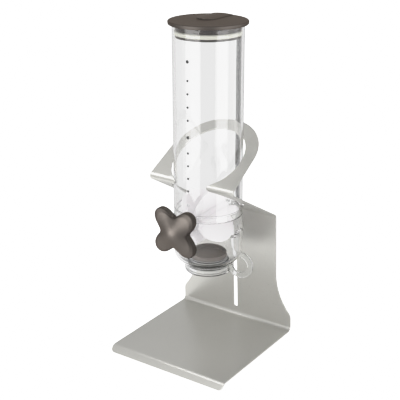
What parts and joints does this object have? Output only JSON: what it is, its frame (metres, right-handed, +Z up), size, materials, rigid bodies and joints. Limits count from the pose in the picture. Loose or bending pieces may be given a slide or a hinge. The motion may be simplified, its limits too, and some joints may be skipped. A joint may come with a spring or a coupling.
{
  "type": "countertop cereal dispenser",
  "caption": "Countertop dry food dispenser: a clear upright canister with a lift-off lid, a knob-turned paddle wheel and a pull-off outlet cap, held in a folded sheet metal stand.",
  "frame": {"origin": "on the table plane, under the middle of the whole object; the canister's centre line is 14.9 mm behind it", "axes": "+Z up along the canister's centre line, -Y towards the knob and the front lip, +X to the object's right"},
  "size_m": [0.177, 0.1745, 0.4376],
  "materials": {
    "satin_sheet": "satin",
    "foot_rubber": "matte",
    "clear_plastic": "clear gloss",
    "taupe_plastic": "matte",
    "cream_silicone": "matte",
    "white_plastic": "satin",
    "white_silicone": "translucent",
    "steel": "brushed"
  },
  "bodies": {
    "base": {"stand": "satin_sheet", "foot_front_left": "foot_rubber", "foot_front_right": "foot_rubber", "foot_rear_left": "foot_rubber", "foot_rear_right": "foot_rubber", "canister_tube": "clear_plastic", "canister_joint_seal": "white_silicone", "dispensing_housing": "clear_plastic", "front_bushing": "white_plastic", "rear_bushing": "white_plastic"},
    "lid": {"lid_cap": "taupe_plastic", "lid_plug": "taupe_plastic", "lid_seal": "cream_silicone"},
    "rotor": {"drive_shaft": "steel", "shaft_clip": "steel", "paddle_hub": "white_plastic", "paddle_wheel": "white_silicone", "knob": "taupe_plastic"},
    "outlet": {"outlet_cap": "clear_plastic", "outlet_gasket": "foot_rubber", "outlet_cap_disc": "taupe_plastic"}
  },
  "joints": [
    {"name": "lid_lift", "type": "slide", "parent": "base", "child": "lid", "axis": [0, 0, 1], "range_m": [0, 0.06]},
    {"name": "knob_spin", "type": "hinge", "parent": "base", "child": "rotor", "pos_m": [0, 0.0149, 0.184], "axis": [0, 1, 0], "continuous": true},
    {"name": "outlet_pull", "type": "slide", "parent": "base", "child": "outlet", "axis": [0, 0, -1], "range_m": [0, 0.07]}
  ]
}
